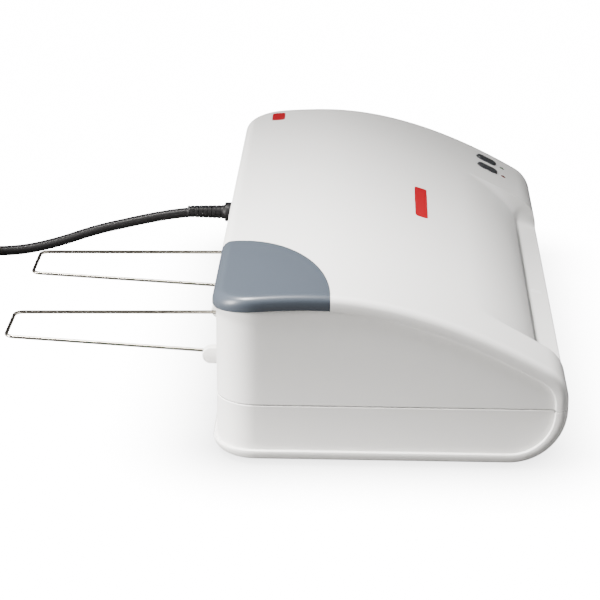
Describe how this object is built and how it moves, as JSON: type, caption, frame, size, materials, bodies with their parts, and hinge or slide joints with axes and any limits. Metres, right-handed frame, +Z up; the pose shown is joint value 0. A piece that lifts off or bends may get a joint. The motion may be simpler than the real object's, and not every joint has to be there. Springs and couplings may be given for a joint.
{
  "type": "pouch laminator",
  "caption": "Desktop pouch laminator with a scooped entry, heated sprung rollers on a gear train, two buttons, fold-out rear wire supports and a mains lead.",
  "frame": {"origin": "middle of the machine and its deployed wire supports, on the table surface under the feet", "axes": "+X along the width to the right as the operator faces it, +Y to the rear where the pouch comes out, +Z up"},
  "size_m": [0.36, 0.4646, 0.093],
  "materials": {
    "ivory_plastic": "satin moulded",
    "white_plastic": "satin moulded",
    "grey_plastic": "satin moulded",
    "red_inlay": "gloss",
    "pale_mark": "satin",
    "black_plastic": "matt",
    "zinc_steel": "zinc plated",
    "aluminium": "extruded",
    "mica": "laminated sheet",
    "ceramic": "glazed",
    "bush_plastic": "moulded",
    "spring_steel": "drawn",
    "shaft_steel": "ground",
    "silicone": "ground silicone",
    "gear_plastic": "moulded acetal",
    "motor_steel": "plated can",
    "circuit_board": "solder mask",
    "component_plastic": "moulded",
    "button_plastic": "satin",
    "red_lens": "clear tinted",
    "green_lens": "clear tinted",
    "wire_sheath": "extruded",
    "foot_rubber": "matt",
    "support_wire": "nickel plated wire",
    "cord_plastic": "satin PVC"
  },
  "bodies": {
    "chassis": {"base_housing": "ivory_plastic", "top_housing": "white_plastic", "corner_cap": "grey_plastic", "front_badge": "red_inlay", "rear_badge": "red_inlay", "lip_mark": "pale_mark", "lower_entry_guide": "black_plastic", "upper_entry_guide": "black_plastic", "lower_exit_guide": "black_plastic", "upper_exit_guide": "black_plastic", "left_side_frame": "zinc_steel", "right_side_frame": "zinc_steel", "tie_rods": "zinc_steel", "heat_shield": "zinc_steel", "heater_brackets": "black_plastic", "lower_heater_plate": "aluminium", "upper_heater_plate": "aluminium", "lower_heating_element": "mica", "upper_heating_element": "mica", "thermostat": "ceramic", "thermal_fuse": "ceramic", "lower_bushes": "bush_plastic", "idler_pin": "zinc_steel", "motor_bracket": "zinc_steel", "gear_motor": "motor_steel", "control_board": "circuit_board", "board_components": "component_plastic", "panel_board": "circuit_board", "power_lens": "red_lens", "ready_lens": "green_lens", "wiring_harness": "wire_sheath", "rubber_feet": "foot_rubber", "screws": "zinc_steel", "strain_relief": "cord_plastic", "power_cord": "cord_plastic", "cord_coil": "cord_plastic", "mains_plug": "cord_plastic"},
    "lower_infeed_roller": {"lower_infeed_shaft": "shaft_steel", "lower_infeed_sleeve": "silicone", "lower_infeed_gear": "gear_plastic"},
    "lower_outfeed_roller": {"lower_outfeed_shaft": "shaft_steel", "lower_outfeed_sleeve": "silicone", "lower_outfeed_gear": "gear_plastic"},
    "infeed_bushes": {"infeed_sliding_bushes": "bush_plastic", "infeed_pressure_springs": "spring_steel"},
    "outfeed_bushes": {"outfeed_sliding_bushes": "bush_plastic", "outfeed_pressure_springs": "spring_steel"},
    "upper_infeed_roller": {"upper_infeed_shaft": "shaft_steel", "upper_infeed_sleeve": "silicone", "upper_infeed_gear": "gear_plastic"},
    "upper_outfeed_roller": {"upper_outfeed_shaft": "shaft_steel", "upper_outfeed_sleeve": "silicone", "upper_outfeed_gear": "gear_plastic"},
    "idler": {"idler_gear": "gear_plastic"},
    "motor_rotor": {"motor_shaft": "shaft_steel", "motor_pinion": "gear_plastic"},
    "power_button": {"power_button": "button_plastic"},
    "mode_button": {"mode_button": "button_plastic"},
    "left_wire_support": {"left_wire_support": "support_wire"},
    "right_wire_support": {"right_wire_support": "support_wire"}
  },
  "joints": [
    {"name": "lower_infeed_spin", "type": "hinge", "parent": "chassis", "child": "lower_infeed_roller", "pos_m": [0, -0.09825, 0.03175], "axis": [1, 0, 0], "continuous": true},
    {"name": "lower_outfeed_spin", "type": "hinge", "parent": "chassis", "child": "lower_outfeed_roller", "pos_m": [0, -0.03825, 0.03175], "axis": [1, 0, 0], "continuous": true},
    {"name": "infeed_roller_lift", "type": "slide", "parent": "chassis", "child": "infeed_bushes", "axis": [0, 0, 1], "range_m": [0, 0.001], "stiffness_N_per_m": 9000, "springref_m": -0.002, "deforming": ["infeed_pressure_springs"]},
    {"name": "outfeed_roller_lift", "type": "slide", "parent": "chassis", "child": "outfeed_bushes", "axis": [0, 0, 1], "range_m": [0, 0.001], "stiffness_N_per_m": 9000, "springref_m": -0.002, "deforming": ["outfeed_pressure_springs"]},
    {"name": "upper_infeed_spin", "type": "hinge", "parent": "infeed_bushes", "child": "upper_infeed_roller", "pos_m": [0, -0.09825, 0.05405], "axis": [1, 0, 0], "continuous": true},
    {"name": "upper_outfeed_spin", "type": "hinge", "parent": "outfeed_bushes", "child": "upper_outfeed_roller", "pos_m": [0, -0.03825, 0.05405], "axis": [1, 0, 0], "continuous": true},
    {"name": "idler_spin", "type": "hinge", "parent": "chassis", "child": "idler", "pos_m": [0, -0.06825, 0.03175], "axis": [1, 0, 0], "continuous": true},
    {"name": "motor_spin", "type": "hinge", "parent": "chassis", "child": "motor_rotor", "pos_m": [0, -0.06825, 0.05685], "axis": [1, 0, 0], "continuous": true},
    {"name": "power_button_press", "type": "slide", "parent": "chassis", "child": "power_button", "axis": [0, 0.4428, -0.8966], "range_m": [0, 0.001], "stiffness_N_per_m": 600},
    {"name": "mode_button_press", "type": "slide", "parent": "chassis", "child": "mode_button", "axis": [0, 0.4428, -0.8966], "range_m": [0, 0.001], "stiffness_N_per_m": 600},
    {"name": "left_support_fold", "type": "hinge", "parent": "chassis", "child": "left_wire_support", "pos_m": [0, 0.03615, 0.0313], "axis": [1, 0, 0], "range_deg": [0, 85]},
    {"name": "right_support_fold", "type": "hinge", "parent": "chassis", "child": "right_wire_support", "pos_m": [0, 0.03615, 0.0313], "axis": [1, 0, 0], "range_deg": [0, 85]}
  ],
  "couplings": [
    {"joint": "lower_outfeed_spin", "follows": "lower_infeed_spin", "ratio": 1},
    {"joint": "upper_infeed_spin", "follows": "lower_infeed_spin", "ratio": -1},
    {"joint": "upper_outfeed_spin", "follows": "lower_infeed_spin", "ratio": -1},
    {"joint": "idler_spin", "follows": "lower_infeed_spin", "ratio": -0.57895},
    {"joint": "motor_spin", "follows": "lower_infeed_spin", "ratio": 1.8333}
  ]
}
